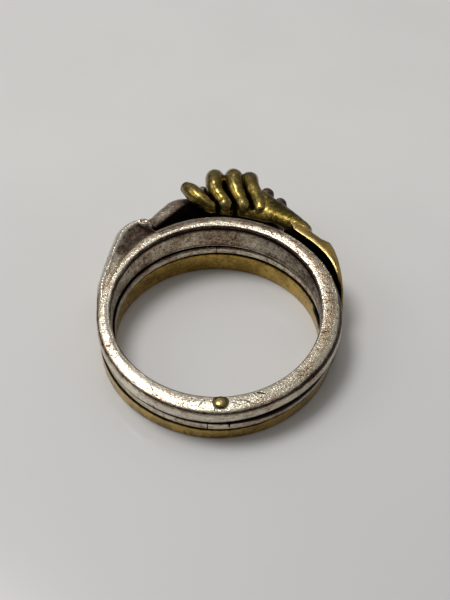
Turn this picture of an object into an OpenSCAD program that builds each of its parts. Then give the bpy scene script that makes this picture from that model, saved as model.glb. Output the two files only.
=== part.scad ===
// A ring of three hoops that turn on one rivet and close in two clasped hands.
// It lies on its side: the brass hoop is underneath, the plain hoop between and the silver hoop on top.
// The shapes are set out in the hoops' own frame: X to the right, Y from the rivet towards the hands, and
// Z along the finger hole. on_its_side() then lays them down, so that the brass hoop's underside is level.

/* [Hoops] */
// Diameter of the finger hole
hole_d = 17.5; // [16.5:0.25:19]
// Thickness of each hoop at the rivet and under the hands, from its inner to its outer wall
wall = 1.65; // [1.45:0.05:1.8]
// How much thinner a hoop is at its two sides
side_thin = 0.4; // [0.2:0.05:0.45]
// Height of the brass hoop halfway between the rivet and the hands
brass_h = 1.6; // [1.4:0.05:2]
// Height of the plain middle hoop
middle_h = 0.72; // [0.6:0.02:0.9]
// Height of the silver hoop halfway between the rivet and the hands
silver_h = 1.87; // [1.6:0.05:2.2]
// Gap between two hoops, where they slide on each other
slide_gap = 0.06; // [0.04:0.01:0.1]
// Slope of the brass hoop's underside, in degrees: the hoop is lower at the rivet
brass_slope = 2.7; // [1.5:0.1:3.5]
// Slope of the silver hoop's top face, in degrees: the hoop is lower at the rivet
silver_slope = 3.5; // [1.5:0.1:4]
// How far the middle hoop is turned on the rivet at rest, in degrees, towards the brass cuff
middle_turn = 0.8; // [0:0.1:1]
// How far the silver hoop is turned on the rivet at rest, in degrees, away from the brass cuff
silver_turn = 0.4; // [0:0.1:0.8]

/* [Rivet] */
// Diameter of the rivet
rivet_d = 1; // [0.8:0.05:1.2]
// Distance from the rivet's middle to the finger hole's wall
rivet_in = 0.68; // [0.62:0.01:0.8]
// Gap round the rivet in the middle and the silver hoop
rivet_gap = 0.03; // [0.02:0.01:0.08]
// Rise of the rivet's domed end above the silver hoop
dome_h = 0.2; // [0.05:0.01:0.25]

/* [Hands] */
// Height of the brass hand, from its fingertips' undersides to its knuckles' tops
brass_hand_h = 1.95; // [1.8:0.05:2.05]
// Height of the silver hand, from under its fingers to its cuff's top
silver_hand_h = 4.7; // [4.5:0.05:4.75]

/* [Hidden] */

hole_r = hole_d / 2;
hoop_r = hole_r + wall;
rivet_r = hole_r + rivet_in;
middle_z = brass_h + slide_gap;
silver_z = middle_z + middle_h + slide_gap;
top_z = silver_z + silver_h;
edge_r = 0.13;
shoulder_r = 0.42;
foot_z = brass_h - 0.3;
root_r = hoop_r - side_thin - 0.4;
big = 60;

// A hoop's outline is where two equal circles overlap, so it is slightly narrower from side to side
side_r = hoop_r - side_thin;
circle_r = (pow(hoop_r, 2) + pow(side_r, 2)) / 2 / side_r;
circle_shift = circle_r - side_r;

// Where the middle of the ring's outline lies, seen from above; it becomes the origin
outline_middle = [0.36, 3.12];

// Height of the floor at a distance y from the hole's axis, in the hoops' frame
function floor_z(y) = -y * tan(brass_slope);

// Height of the silver hoop's top face there
function top_at(y) = top_z + y * tan(silver_slope);

// Distance from the hole's axis to a hoop's outer wall
function wall_r(angle) =
    sqrt(pow(circle_r, 2) - pow(circle_shift * sin(angle), 2)) - circle_shift * abs(cos(angle));

function unit(v) = v / norm(v);
function polar(r, angle, z) = [r * cos(angle), r * sin(angle), z];
function column(table, i) = [for (row = table) [row[0], row[i]]];

// A corner of a profile, rounded in three steps from one angle to another
function corner(centre, r, from, to) =
    [for (i = [0 : 3]) let (a = from + (to - from) * i / 3) centre + r * [cos(a), sin(a)]];

// The overlap of two discs, with one edge radius below and another above
module outline_disc(low, high, r_low, r_high) {
    profile = concat([[0, low]],
        corner([circle_r - r_low, low + r_low], r_low, 270, 360),
        corner([circle_r - r_high, high - r_high], r_high, 0, 90),
        [[0, high]]);
    intersection_for(side = [-1, 1])
        translate([side * circle_shift, 0, 0]) rotate_extrude($fn = 160) polygon(profile);
}

// Carries the last step of a rounded corner on, so that a cutter runs out past the wall it cuts
function run_out(points) = let (n = len(points), p = points[n - 1])
    concat(points, [p + 1.5 * (p - points[n - 2])]);

// What the sloping top face takes away from the silver hoop: all above it, a wide round outer shoulder and
// a small round inner edge
module top_cut() translate([0, 0, top_z]) rotate([silver_slope, 0, 0]) {
    translate([-big / 2, -big / 2, 0]) cube(big);
    outer = run_out(corner([circle_r - shoulder_r, -shoulder_r], shoulder_r, 90, 0));
    inner = run_out(corner([hole_r + edge_r, -edge_r], edge_r, 90, 180));
    for (side = [-1, 1]) translate([side * circle_shift, 0, 0]) rotate_extrude($fn = 160)
        polygon(concat([[circle_r - shoulder_r, 0.5]], outer, [[circle_r + 1.5, -2 * shoulder_r], [circle_r + 1.5, 0.5]]));
    rotate_extrude($fn = 160)
        polygon(concat([[hole_r + edge_r, 0.5]], inner, [[hole_r - 1, -2 * edge_r], [hole_r - 1, 0.5]]));
}

// What the finger hole takes away from a hoop, with its lower and upper edge rounded
module finger_hole(low, high) rotate_extrude($fn = 160)
    polygon(concat([[0, low - 1], [hole_r + edge_r, low - 1]],
        corner([hole_r + edge_r, low + edge_r], -edge_r, 90, 0),
        corner([hole_r + edge_r, high - edge_r], -edge_r, 360, 270),
        [[hole_r + edge_r, high + 1], [0, high + 1]]));

// A closed solid through a row of rings, each a list of as many points. A ring's first point sees all others.
module loft(rings) {
    n = len(rings[0]);
    last = (len(rings) - 1) * n;
    polyhedron(
        points = [for (ring = rings) each ring],
        faces = concat(
            [for (i = [1 : n - 2]) [0, i, i + 1]],
            [for (i = [1 : n - 2]) [last, last + i + 1, last + i]],
            [for (k = [0 : n : last - n], i = [0 : n - 1]) [k + i, k + n + i, k + (i + 1) % n]],
            [for (k = [0 : n : last - n], i = [0 : n - 1])
                [k + (i + 1) % n, k + n + i, k + n + (i + 1) % n]]));
}

// Direction of a limb at one of its stations
function heading(path, i) = let (last = len(path) - 1)
    unit(path[min(i + 1, last)] - path[max(i - 1, 0)]);

// An oval ring of points round a centre. across lies square to both the limb's heading and its up vector.
function oval(centre, along, up, across_r, up_r, sides) =
    let (across = unit(cross(up, along)), upright = cross(along, across))
    [for (i = [0 : sides - 1]) let (a = 360 * i / sides)
        centre + across * across_r * cos(a) + upright * up_r * sin(a)];

// Stations of a limb: x, y beyond the hoop's outer wall, z, half its width, half its height
function place(s) = [s[0], hoop_r + s[1], s[2]];

// Two shrinking rings that round an end off; way is 1 at the far end and -1 at the near end
cap_steps = [[0.55, 0.82], [0.92, 0.36]];

// A limb with round ends, such as a finger, a palm or a wrist
module limb(stations, up, sides = 12) {
    path = [for (s = stations) place(s)];
    last = len(stations) - 1;
    first_dir = heading(path, 0);
    last_dir = heading(path, last);
    function end_ring(i, dir, step) =
        oval(path[i] + dir * min(stations[i][3], stations[i][4]) * step[0] * (i == 0 ? -1 : 1), dir, up,
            stations[i][3] * step[1], stations[i][4] * step[1], sides);
    loft(concat(
        [end_ring(0, first_dir, cap_steps[1]), end_ring(0, first_dir, cap_steps[0])],
        [for (i = [0 : last]) oval(path[i], heading(path, i), up, stations[i][3], stations[i][4], sides)],
        [end_ring(last, last_dir, cap_steps[0]), end_ring(last, last_dir, cap_steps[1])]));
}

// Lays the ring on its side, with the middle of its outline over the origin
module on_its_side()
    translate([-outline_middle[0], -outline_middle[1], 0]) rotate([brass_slope, 0, 0]) children();

// Turns a hoop on the rivet
module turned(angle)
    translate([0, -rivet_r, 0]) rotate([0, 0, angle]) translate([0, rivet_r, 0]) children();

// Everything above the floor
module above_floor() translate([-big / 2, -big / 2, 0]) cube(big);

// Hole for the rivet, through every hoop
module rivet_hole(d) translate([0, -rivet_r, -1]) cylinder(d = d, h = top_z + 2, $fn = 48);

// The arm that carries the brass hand. It stands outside the two upper hoops and rises past them.
// Columns: angle, clear space to the upper hoops, outer face, top. The first two distances start at the
// hoop's outer wall.
brass_arm = [
    [-22, -0.66, -0.60, 1.60],
    [-16, -0.20, -0.12, 1.60],
    [-6, 0.15, 0.20, 1.60],
    [0, 0.30, 0.42, 1.64],
    [4, 0.32, 0.56, 1.95],
    [8, 0.34, 0.64, 2.90],
    [12, 0.38, 0.76, 3.85],
    [18, 0.45, 1.00, 4.60],
    [24, 0.50, 1.36, 4.90],
    [30, 0.50, 1.74, 5.00],
    [34, 0.50, 1.94, 5.02],
    [38, 0.50, 1.68, 5.00],
    [43, 0.50, 1.66, 5.00],
    [47, 0.52, 1.96, 5.00],
    [52, 0.56, 2.26, 5.00],
    [56, 0.60, 2.42, 4.97]];

// The arm that carries the silver hand. It stands outside the two lower hoops and reaches down past them.
// Columns: angle, clear space to the lower hoops, outer face, bottom above the floor, dip beside the hoop,
// and how far the outer face lags behind the inner one, in degrees, where the cuff's mouth is cut aslant.
silver_arm = [
    [180, -0.66, -0.60, 2.60, 0.02, 0],
    [174, -0.28, -0.22, 2.60, 0.03, 0],
    [168, -0.10, -0.04, 2.58, 0.04, 0],
    [164, 0.03, 0.09, 2.52, 0.05, 0],
    [160, 0.16, 0.23, 2.42, 0.07, 0],
    [156, 0.30, 0.40, 2.10, 0.10, 0],
    [152, 0.34, 0.58, 1.40, 0.15, 0],
    [148, 0.38, 0.82, 0.80, 0.20, 0],
    [144, 0.42, 1.10, 0.45, 0.26, 0],
    [140, 0.46, 1.42, 0.28, 0.32, 0],
    [136, 0.50, 1.74, 0.24, 0.38, 1],
    [132, 0.50, 2.04, 0.22, 0.42, 2.5],
    [128, 0.50, 2.22, 0.22, 0.46, 4],
    [124, 0.50, 2.32, 0.22, 0.48, 5],
    [120, 0.50, 2.30, 0.22, 0.48, 6.5]];

// Fingers of the brass hand. Columns: x, y beyond the hoop's outer wall, z, half width, half height.
brass_index = [
    [-0.45, 2.25, 4.25, 0.64, 0.62],
    [-1.00, 2.80, 4.35, 0.68, 0.64],
    [-1.62, 3.50, 4.42, 0.74, 0.68],
    [-2.16, 4.20, 4.38, 0.78, 0.76],
    [-2.42, 4.62, 4.00, 0.64, 0.64]];
brass_middle = [
    [1.12, 1.95, 4.25, 0.66, 0.66],
    [0.85, 2.75, 4.40, 0.58, 0.60],
    [0.52, 3.70, 4.50, 0.60, 0.60],
    [0.32, 4.70, 4.55, 0.74, 0.68],
    [0.26, 5.50, 4.48, 0.86, 0.82],
    [0.22, 5.92, 3.98, 0.68, 0.66]];
brass_ring = [
    [2.75, 1.92, 4.25, 0.68, 0.68],
    [2.50, 2.75, 4.40, 0.58, 0.60],
    [2.22, 3.70, 4.50, 0.58, 0.60],
    [2.08, 4.70, 4.55, 0.74, 0.68],
    [2.04, 5.50, 4.48, 0.88, 0.82],
    [2.02, 5.92, 3.98, 0.68, 0.66]];
brass_little = [
    [4.30, 1.50, 4.30, 0.62, 0.64],
    [4.05, 2.50, 4.38, 0.58, 0.60],
    [3.78, 3.60, 4.46, 0.56, 0.58],
    [3.70, 4.60, 4.50, 0.62, 0.64],
    [3.66, 5.50, 4.45, 0.70, 0.74],
    [3.62, 5.80, 3.98, 0.58, 0.60]];
// The knuckles' bridge, from the index finger to the heel of the hand
brass_knuckles = [
    [-0.45, 2.15, 4.20, 0.55, 0.52],
    [1.10, 1.95, 4.22, 0.62, 0.58],
    [2.75, 1.95, 4.22, 0.66, 0.58],
    [4.20, 1.90, 4.25, 0.86, 0.58],
    [5.00, 1.60, 4.28, 0.90, 0.60]];
// The palm, from the wrist to the little finger
brass_palm = [
    [8.10, -1.45, 4.15, 0.70, 0.75],
    [7.20, -0.42, 4.20, 0.74, 0.74],
    [6.30, 0.55, 4.26, 0.76, 0.70],
    [5.30, 1.45, 4.28, 0.90, 0.66],
    [4.50, 2.45, 4.32, 0.84, 0.62],
    [4.10, 3.30, 4.38, 0.66, 0.58]];

// The silver hand lies under the brass one, with its fingers curled up round the outer side
silver_index = [
    [5.10, 1.80, 0.62, 0.70, 0.70],
    [5.70, 2.45, 0.50, 0.68, 0.68],
    [6.15, 3.00, 0.72, 0.68, 0.66],
    [6.40, 3.35, 1.18, 0.66, 0.62],
    [6.48, 3.46, 1.75, 0.60, 0.58],
    [6.45, 3.44, 2.25, 0.54, 0.53],
    [6.40, 3.38, 2.58, 0.52, 0.50]];
silver_middle = [
    [3.90, 2.00, 0.60, 0.74, 0.72],
    [4.50, 3.20, 0.46, 0.70, 0.70],
    [4.95, 4.20, 0.62, 0.70, 0.68],
    [5.20, 4.78, 1.06, 0.68, 0.64],
    [5.32, 5.02, 1.65, 0.62, 0.58],
    [5.38, 5.08, 2.20, 0.56, 0.54],
    [5.40, 5.04, 2.55, 0.53, 0.50]];
silver_ring = [
    [2.40, 2.00, 0.60, 0.74, 0.72],
    [2.90, 3.30, 0.46, 0.70, 0.70],
    [3.30, 4.40, 0.58, 0.70, 0.68],
    [3.50, 5.00, 1.02, 0.68, 0.64],
    [3.60, 5.24, 1.60, 0.60, 0.58],
    [3.62, 5.26, 2.10, 0.54, 0.52]];
silver_little = [
    [0.95, 1.90, 0.65, 0.68, 0.68],
    [1.30, 3.10, 0.50, 0.64, 0.64],
    [1.65, 4.20, 0.60, 0.64, 0.62],
    [1.80, 4.80, 1.00, 0.62, 0.58],
    [1.90, 5.02, 1.52, 0.55, 0.54],
    [1.92, 5.04, 1.95, 0.50, 0.50]];
silver_knuckles = [
    [0.20, 2.30, 0.95, 0.90, 0.95],
    [2.20, 2.25, 0.92, 1.00, 1.00],
    [4.00, 2.20, 0.92, 1.00, 1.00],
    [5.00, 2.10, 0.95, 0.90, 0.90]];
// The frilled shirt cuff, the wrist and the palm; the first stations are inside the arm
silver_palm = [
    [-6.75, -0.75, 2.40, 0.80, 1.60],
    [-6.42, -0.42, 2.44, 1.00, 1.80],
    [-6.32, -0.16, 2.46, 1.28, 2.02],
    [-6.08, 0.10, 2.46, 1.28, 2.02],
    [-5.86, 0.26, 2.44, 0.98, 1.78],
    [-5.10, 0.96, 2.35, 0.98, 1.66],
    [-4.10, 1.95, 2.15, 1.15, 1.52],
    [-2.90, 2.85, 1.78, 1.42, 1.32],
    [-1.30, 3.25, 1.68, 1.60, 1.38],
    [0.60, 3.20, 1.68, 1.65, 1.38],
    [2.60, 3.15, 1.68, 1.52, 1.36],
    [4.40, 2.90, 1.68, 1.36, 1.32],
    [5.30, 2.65, 1.68, 1.00, 1.05]];

// One ring of an arm that rises from the bottom hoop; the corner between arm and hoop comes first
function rising_ring(angle, gap, face, top) = let (
        inner = hoop_r + min(gap, face - 0.04),
        outer = hoop_r + face,
        height = max(top, foot_z + 0.01),
        round_in = min(0.12, (outer - inner) / 4, (height - foot_z) / 4),
        round_out = min(0.45, (outer - inner) / 2, (height - foot_z) / 3),
        low = floor_z(outer * sin(angle)) + 0.04)
    [
        polar(inner, angle, foot_z),
        polar(inner, angle, height - round_in),
        polar(inner + round_in, angle, height),
        polar(outer - round_out, angle, height),
        polar(outer - round_out * 0.3, angle, height - round_out * 0.3),
        polar(outer, angle, height - round_out),
        polar(outer, angle, low + 0.3),
        polar(outer - 0.12, angle, low),
        polar(root_r, angle, floor_z(root_r * sin(angle)) + 0.04),
        polar(root_r, angle, foot_z)
    ];

// One ring of an arm that reaches down from the top hoop; the corner between arm and hoop comes first
function falling_ring(angle, gap, face, bottom, dip, lag) = let (
        inner = hoop_r + min(gap, face - 0.04),
        outer = hoop_r + face,
        root_z = silver_z + 0.3,
        low = min(floor_z(outer * sin(angle)) + bottom, root_z - 0.01),
        high = top_at(outer * sin(angle)),
        ridge = min(0.4, (outer - inner) / 2),
        valley = max(root_r + 0.1, outer - ridge - max(0.1, 0.45 * (face + side_thin))),
        turn = function(r) angle + lag * (r - inner) / (outer - inner))
    [for (p = [
        [inner, root_z],
        [inner, low],
        [outer - 0.03, low],
        [outer, low + min(0.3, (root_z - low) / 2)],
        [outer, high - 0.35],
        [outer - ridge * 0.3, high - 0.08],
        [outer - ridge, high],
        [valley, high - dip],
        [root_r, high - dip - 0.4],
        [root_r, root_z]])
        polar(p[0], turn(p[0]), p[1])];

arm_step = 2;

module brass_arm() {
    from = brass_arm[0][0];
    to = brass_arm[len(brass_arm) - 1][0];
    loft([for (a = [from : arm_step : to + 0.1])
        rising_ring(a, lookup(a, column(brass_arm, 1)), lookup(a, column(brass_arm, 2)),
            lookup(a, column(brass_arm, 3)))]);
}

module silver_arm() {
    from = silver_arm[0][0];
    to = silver_arm[len(silver_arm) - 1][0];
    loft([for (a = [from : -arm_step : to])
        falling_ring(a, lookup(a, column(silver_arm, 1)), lookup(a, column(silver_arm, 2)),
            lookup(a, column(silver_arm, 3)), lookup(a, column(silver_arm, 4)),
            lookup(a, column(silver_arm, 5)))]);
}

module brass_hand() {
    for (finger = [brass_index, brass_middle, brass_ring, brass_little])
        limb(finger, [1, 0, 0]);
    limb(brass_knuckles, [0, 0, 1]);
    limb(brass_palm, [0, 0, 1], 16);
}

module silver_hand() {
    for (finger = [silver_index, silver_middle, silver_ring, silver_little])
        limb(finger, [1, 0, 0]);
    limb(silver_knuckles, [0, 0, 1]);
    limb(silver_palm, [0, 0, 1], 16);
}

// The bottom hoop, cut level underneath, with its arm and hand
module brass_hoop() color("goldenrod") {
    difference() {
        intersection() {
            on_its_side() outline_disc(-1, brass_h, edge_r, edge_r);
            above_floor();
        }
        on_its_side() {
            finger_hole(-1, brass_h);
            rivet_hole(rivet_d);
        }
    }
    on_its_side() {
        brass_arm();
        resize([0, 0, brass_hand_h]) brass_hand();
    }
}

// The plain hoop between the two that carry the hands
module middle_hoop() color("lightgray") on_its_side() turned(-middle_turn) difference() {
    outline_disc(middle_z, middle_z + middle_h, edge_r, edge_r);
    finger_hole(middle_z, middle_z + middle_h);
    rivet_hole(rivet_d + 2 * rivet_gap);
}

// The top hoop, whose top face slopes down to the rivet, with its arm and hand
module silver_hoop() color("silver") on_its_side() turned(silver_turn) {
    difference() {
        outline_disc(silver_z, top_z + 2, edge_r, edge_r);
        finger_hole(silver_z, top_z + 2);
        top_cut();
        rivet_hole(rivet_d + 2 * rivet_gap);
    }
    silver_arm();
    resize([0, 0, silver_hand_h]) silver_hand();
}

// The rivet, held in the brass hoop; its upper end is domed over the silver hoop
module rivet() color("gold") on_its_side() {
    low = floor_z(-rivet_r) + 0.05;
    high = top_at(-rivet_r);
    translate([0, -rivet_r, low]) cylinder(d = rivet_d, h = high - low, $fn = 48);
    dome_r = pow(rivet_d, 2) / 8 / dome_h + dome_h / 2;
    translate([0, -rivet_r, high]) intersection() {
        translate([0, 0, dome_h - dome_r]) sphere(r = dome_r, $fn = 96);
        translate([0, 0, -0.3]) cylinder(d = rivet_d, h = 1, $fn = 48);
    }
}

brass_hoop();
middle_hoop();
silver_hoop();
rivet();
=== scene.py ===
# A ring of three hoops that turn on one rivet and close in two clasped hands, lying on its side.
# Shapes are worked out in millimetres in the hoops' own frame: X to the right, Y from the rivet towards
# the hands and Z along the finger hole. laid() then lays them on the floor, in metres.
from math import cos, pi, radians, sin, tan

import bmesh
import bpy
import numpy as np
from mathutils import Matrix, Quaternion, Vector, noise


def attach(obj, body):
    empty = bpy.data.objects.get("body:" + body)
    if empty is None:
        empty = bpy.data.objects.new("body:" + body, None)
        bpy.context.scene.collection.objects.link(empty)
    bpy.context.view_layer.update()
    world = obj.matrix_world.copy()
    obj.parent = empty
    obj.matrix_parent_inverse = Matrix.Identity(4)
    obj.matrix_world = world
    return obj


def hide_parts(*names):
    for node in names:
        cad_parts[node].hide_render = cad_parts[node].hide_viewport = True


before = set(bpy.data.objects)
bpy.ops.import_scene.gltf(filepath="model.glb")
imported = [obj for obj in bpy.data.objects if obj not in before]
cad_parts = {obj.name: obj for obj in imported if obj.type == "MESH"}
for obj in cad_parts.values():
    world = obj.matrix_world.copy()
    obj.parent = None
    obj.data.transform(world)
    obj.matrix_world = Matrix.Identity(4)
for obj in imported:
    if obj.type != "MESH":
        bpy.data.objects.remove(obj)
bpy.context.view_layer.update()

MM = 0.001

# Sizes of the hoops, as in the part's source but for the seams, which look a little higher once worn
HOLE_R = 8.75
HOOP_R = 10.4
SIDE_R = 10.0
CIRCLE_R = (HOOP_R ** 2 + SIDE_R ** 2) / 2 / SIDE_R
CIRCLE_SHIFT = CIRCLE_R - SIDE_R
BRASS_TOP = 1.68
MIDDLE_LOW = 1.74
MIDDLE_TOP = 2.62
SILVER_LOW = 2.68
TOP_Z = 4.42
BRASS_SLOPE = radians(2.7)
SILVER_SLOPE = radians(2.7)
RIVET_R = 9.43
RIVET_IN = 0.13  # how much nearer the hole the hammered head looks
OUTLINE_MIDDLE = (0.36, 3.12)
MIDDLE_TURN = -0.8  # degrees that the upper hoops are swung on the rivet
SILVER_TURN = 0.4
SILVER_EDGE = 0.13  # how far the hoops' lower edges are rounded
BRASS_EDGE = 0.12
WORN_BRASS_EDGE = 0.16
LIFT = 0.01  # clear space between the brass hoop and the floor
CUFF_LEAN = radians(28)  # how steep the silver cuff's rounded side starts, and how far it drops
CUFF_DROP = 1.0


def laid(points, turn=0.0):
    """Points in the hoops' frame, turned on the rivet by some degrees, as they lie on the floor."""
    x, y, z = np.asarray(points, float).reshape(-1, 3).T
    t = radians(turn)
    y = y + RIVET_R
    x, y = x * cos(t) - y * sin(t), x * sin(t) + y * cos(t) - RIVET_R
    y, z = y * cos(BRASS_SLOPE) - z * sin(BRASS_SLOPE), y * sin(BRASS_SLOPE) + z * cos(BRASS_SLOPE)
    return np.stack([x - OUTLINE_MIDDLE[0], y - OUTLINE_MIDDLE[1], z], 1) * MM


def wall_r(turned):
    """Distance from the hole's axis to a hoop's outer wall. turned is in radians."""
    soft = 0.15
    across = (np.sqrt(np.cos(turned) ** 2 + soft ** 2) - soft) / (np.sqrt(1 + soft ** 2) - soft)
    return np.sqrt(CIRCLE_R ** 2 - (CIRCLE_SHIFT * np.sin(turned)) ** 2) - CIRCLE_SHIFT * across


def floor_at(y):
    return -y * tan(BRASS_SLOPE)


def top_at(y):
    return TOP_Z + y * tan(SILVER_SLOPE)


def ease(x, low, high):
    """0 below low, 1 above high and a smooth rise between."""
    t = np.clip((x - low) / (high - low), 0, 1)
    return t * t * (3 - 2 * t)


def larger(a, b, soft=0.1):
    """The larger of two values, with the change from one to the other rounded off."""
    return (a + b + np.sqrt((a - b) ** 2 + soft ** 2)) / 2


# Meshes

def new_object(name, mesh):
    piece = bpy.data.objects.new(name, mesh)
    bpy.context.scene.collection.objects.link(piece)
    return piece


def shade_smooth(mesh):
    mesh.polygons.foreach_set("use_smooth", [True] * len(mesh.polygons))


def read_places(mesh):
    flat = np.empty(len(mesh.vertices) * 3)
    mesh.vertices.foreach_get("co", flat)
    return flat.reshape(-1, 3)


def set_mark(mesh, name, values):
    """Keeps a number for each point of a mesh, for its material to read."""
    mark = mesh.attributes.new(name, "FLOAT", "POINT")
    mark.data.foreach_set("value", np.asarray(values, np.float32))


def spun_band(name, stations, places, marks, turn=0.0):
    """A closed band. Its outline is spun round the finger hole, and each of its points then goes to its
    place: places[k, j] is point j of the outline at station k, and marks hold a number for each."""
    count, corners = places.shape[:2]
    bm = bmesh.new()
    corner = bm.verts.layers.int.new("corner")
    outline = [bm.verts.new((np.hypot(x, y), 0, z)) for x, y, z in places[0]]
    for j, v in enumerate(outline):
        v[corner] = j
    edges = [bm.edges.new((outline[j - 1], outline[j])) for j in range(corners)]
    bmesh.ops.spin(bm, geom=outline + edges, cent=(0, 0, 0), axis=(0, 0, 1), dvec=(0, 0, 0),
                   angle=2 * pi, steps=count, use_merge=True)
    bmesh.ops.recalc_face_normals(bm, faces=bm.faces)
    mesh = bpy.data.meshes.new(name)
    bm.to_mesh(mesh)
    bm.free()

    spun = read_places(mesh)
    k = np.rint(np.arctan2(spun[:, 1], spun[:, 0]) / (2 * pi) * count).astype(int) % count
    j = np.empty(len(mesh.vertices), np.int32)
    mesh.attributes["corner"].data.foreach_get("value", j)
    mesh.attributes.remove(mesh.attributes["corner"])
    mesh.vertices.foreach_set("co", laid(places[k, j], turn).ravel())
    for mark, values in marks.items():
        set_mark(mesh, mark, values[k, j])

    # The material's coordinates: millimetres round the hoop and millimetres across its outline
    ends = np.append(stations, stations[0] + 360)
    round_mm = np.radians(ends) * (HOLE_R + HOOP_R) / 2
    step = np.linalg.norm(np.roll(places, -1, 1) - places, axis=2).mean(0)
    across_mm = np.append(0, np.cumsum(step))
    at = np.empty(len(mesh.loops), np.int32)
    mesh.loops.foreach_get("vertex_index", at)

    def unrolled(index, total):
        quads = index[at].reshape(-1, 4)
        wraps = (quads.max(1) - quads.min(1)) > total / 2
        return (quads + total * (wraps[:, None] & (quads < total / 2))).ravel()

    uv = np.stack([round_mm[unrolled(k, count)], across_mm[unrolled(j, corners)]], 1)
    mesh.uv_layers.new(name="around").data.foreach_set("uv", uv.ravel())
    mesh.update()
    shade_smooth(mesh)
    return new_object(name, mesh)


def placed(radius, angle, height):
    """Points from their distance to the axis, their angle in degrees and their height."""
    turned = np.radians(angle)
    return np.stack([radius * np.cos(turned), radius * np.sin(turned), height], -1)


def outline_rows(rows, count):
    """A list of (radius, height, marks) for the points of an outline, each the same at all stations or
    one value a station, as arrays of stations by points."""
    # The mark for hollows and shade darkens a point: patina in real hollows, and painted shade in gaps, under
    # the hands and along some edges.
    names = ("radius", "height", "hollow", "worn")
    # The mark for wear and sheen lightens a point: rubbed metal, and painted sheen in places such as the near
    # outer wall and the hands' ridges.
    table = [[np.broadcast_to(np.asarray(value, float), count) for value in row] for row in rows]
    return {n: np.stack([row[i] for row in table], 1) for i, n in enumerate(names)}


def mixed(a, b, share):
    return a + (b - a) * share


def slid_dark(share):
    """How dark a face that slides on another hoop is: black at its two edges and tarnished between."""
    return 0.5 + 1.9 * (share - 0.5) ** 2


def crowded(step, *places):
    """Station angles all round, step degrees apart, with more of them near some places. Each place is an
    angle and a list of offsets from it."""
    angles = np.arange(0, 360, step)
    for middle, offsets in places:
        near = middle + np.asarray(offsets)
        clear = (angles < near.min() - step * 0.3) | (angles > near.max() + step * 0.3)
        angles = np.concatenate([angles[clear], near])
    return np.unique(np.round(angles % 360, 4))


def rounded_corner(r, z, size, start, hollow, worn=0.0):
    """A quarter turn of an outline round (r, z), from the angle start on, with four marks for patina and
    painted shade.
    """
    turns = [radians(start - 30 * i) for i in range(4)]
    return [(r + size * cos(turn), z + size * sin(turn), dark, worn) for turn, dark in zip(turns, hollow)]


# The silver hoop

# The arm that carries the silver hand. It stands outside the two lower hoops and reaches down past them.
# Columns: angle, clear space to the lower hoops, outer face, bottom above the floor, dip beside the hoop,
# and how far the outer face lags behind the inner one, in degrees, where the cuff's mouth is cut aslant.
SILVER_ARM = np.array([
    (120, 0.50, 2.30, 0.22, 0.50, 6.5),
    (124, 0.50, 2.32, 0.22, 0.50, 5.0),
    (128, 0.50, 2.22, 0.22, 0.48, 4.0),
    (132, 0.50, 2.04, 0.22, 0.45, 2.5),
    (136, 0.50, 1.74, 0.24, 0.40, 1.0),
    (140, 0.46, 1.42, 0.28, 0.34, 0.0),
    (144, 0.42, 1.10, 0.45, 0.28, 0.0),
    (148, 0.38, 0.82, 0.80, 0.22, 0.0),
    (152, 0.34, 0.58, 1.40, 0.17, 0.0),
    (156, 0.30, 0.40, 2.10, 0.12, 0.0),
    (160, 0.16, 0.23, 2.42, 0.09, 0.0),
    (164, 0.03, 0.09, 2.52, 0.06, 0.0),
    (168, -0.18, -0.12, 2.58, 0.04, 0.0),
    (174, -0.40, -0.34, 2.60, 0.02, 0.0),
    (180, -0.66, -0.60, 2.60, 0.00, 0.0)])
MOUTH = 120.0
# The cuff's mouth, from its full outline to the plain hoop. Columns: how far past the mouth, in degrees,
# how much of the cuff is gone, and how far its inside is set back, in degrees.
MOUTH_STEPS = np.array([
    (0.10, 0.00, 0.0), (0.03, 0.015, 0.0), (0.00, 0.045, 0.0), (-0.02, 0.07, 0.0), (-0.04, 0.08, 0.2),
    (-0.06, 0.085, 0.6), (-0.08, 1.0, 0.6), (-0.3, 1.0, 0.5), (-0.7, 1.0, 0.3), (-1.2, 1.0, 0.1),
    (-1.8, 1.0, 0.0)])
# The top hoop's inner edge is worn round, most of all beside the hands. Columns: angle, width of the worn
# edge, and how far the wall flares outwards below it.
WORN_RIM = np.array([
    (0, 0.26, 0.06), (10, 0.32, 0.16), (25, 0.38, 0.30), (50, 0.44, 0.38), (90, 0.42, 0.30),
    (130, 0.36, 0.15), (165, 0.34, 0.12), (184, 0.28, 0.08), (205, 0.20, 0.03), (225, 0.17, 0.00),
    (300, 0.15, 0.00), (340, 0.18, 0.00), (360, 0.26, 0.06)])
# Its outer edge. Columns: angle from -180 to 180, how far the wall stands out from the lower hoops', and
# the width and the height of the rounded shoulder.
SHOULDER = np.array([
    (-180, 0.00, 0.50, 0.42), (-150, 0.00, 0.55, 0.42), (-90, 0.00, 0.52, 0.40), (-65, 0.04, 0.56, 0.50),
    (-45, 0.16, 0.62, 0.66), (-28, 0.36, 0.66, 0.84), (-14, 0.52, 0.71, 0.94), (0, 0.61, 0.70, 0.94),
    (8, 0.63, 0.58, 0.84), (16, 0.64, 0.46, 0.66), (24, 0.60, 0.38, 0.50), (34, 0.46, 0.32, 0.36),
    (50, 0.30, 0.30, 0.30), (70, 0.12, 0.34, 0.32), (90, 0.00, 0.40, 0.36), (130, 0.00, 0.48, 0.42),
    (180, 0.00, 0.50, 0.42)])


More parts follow.
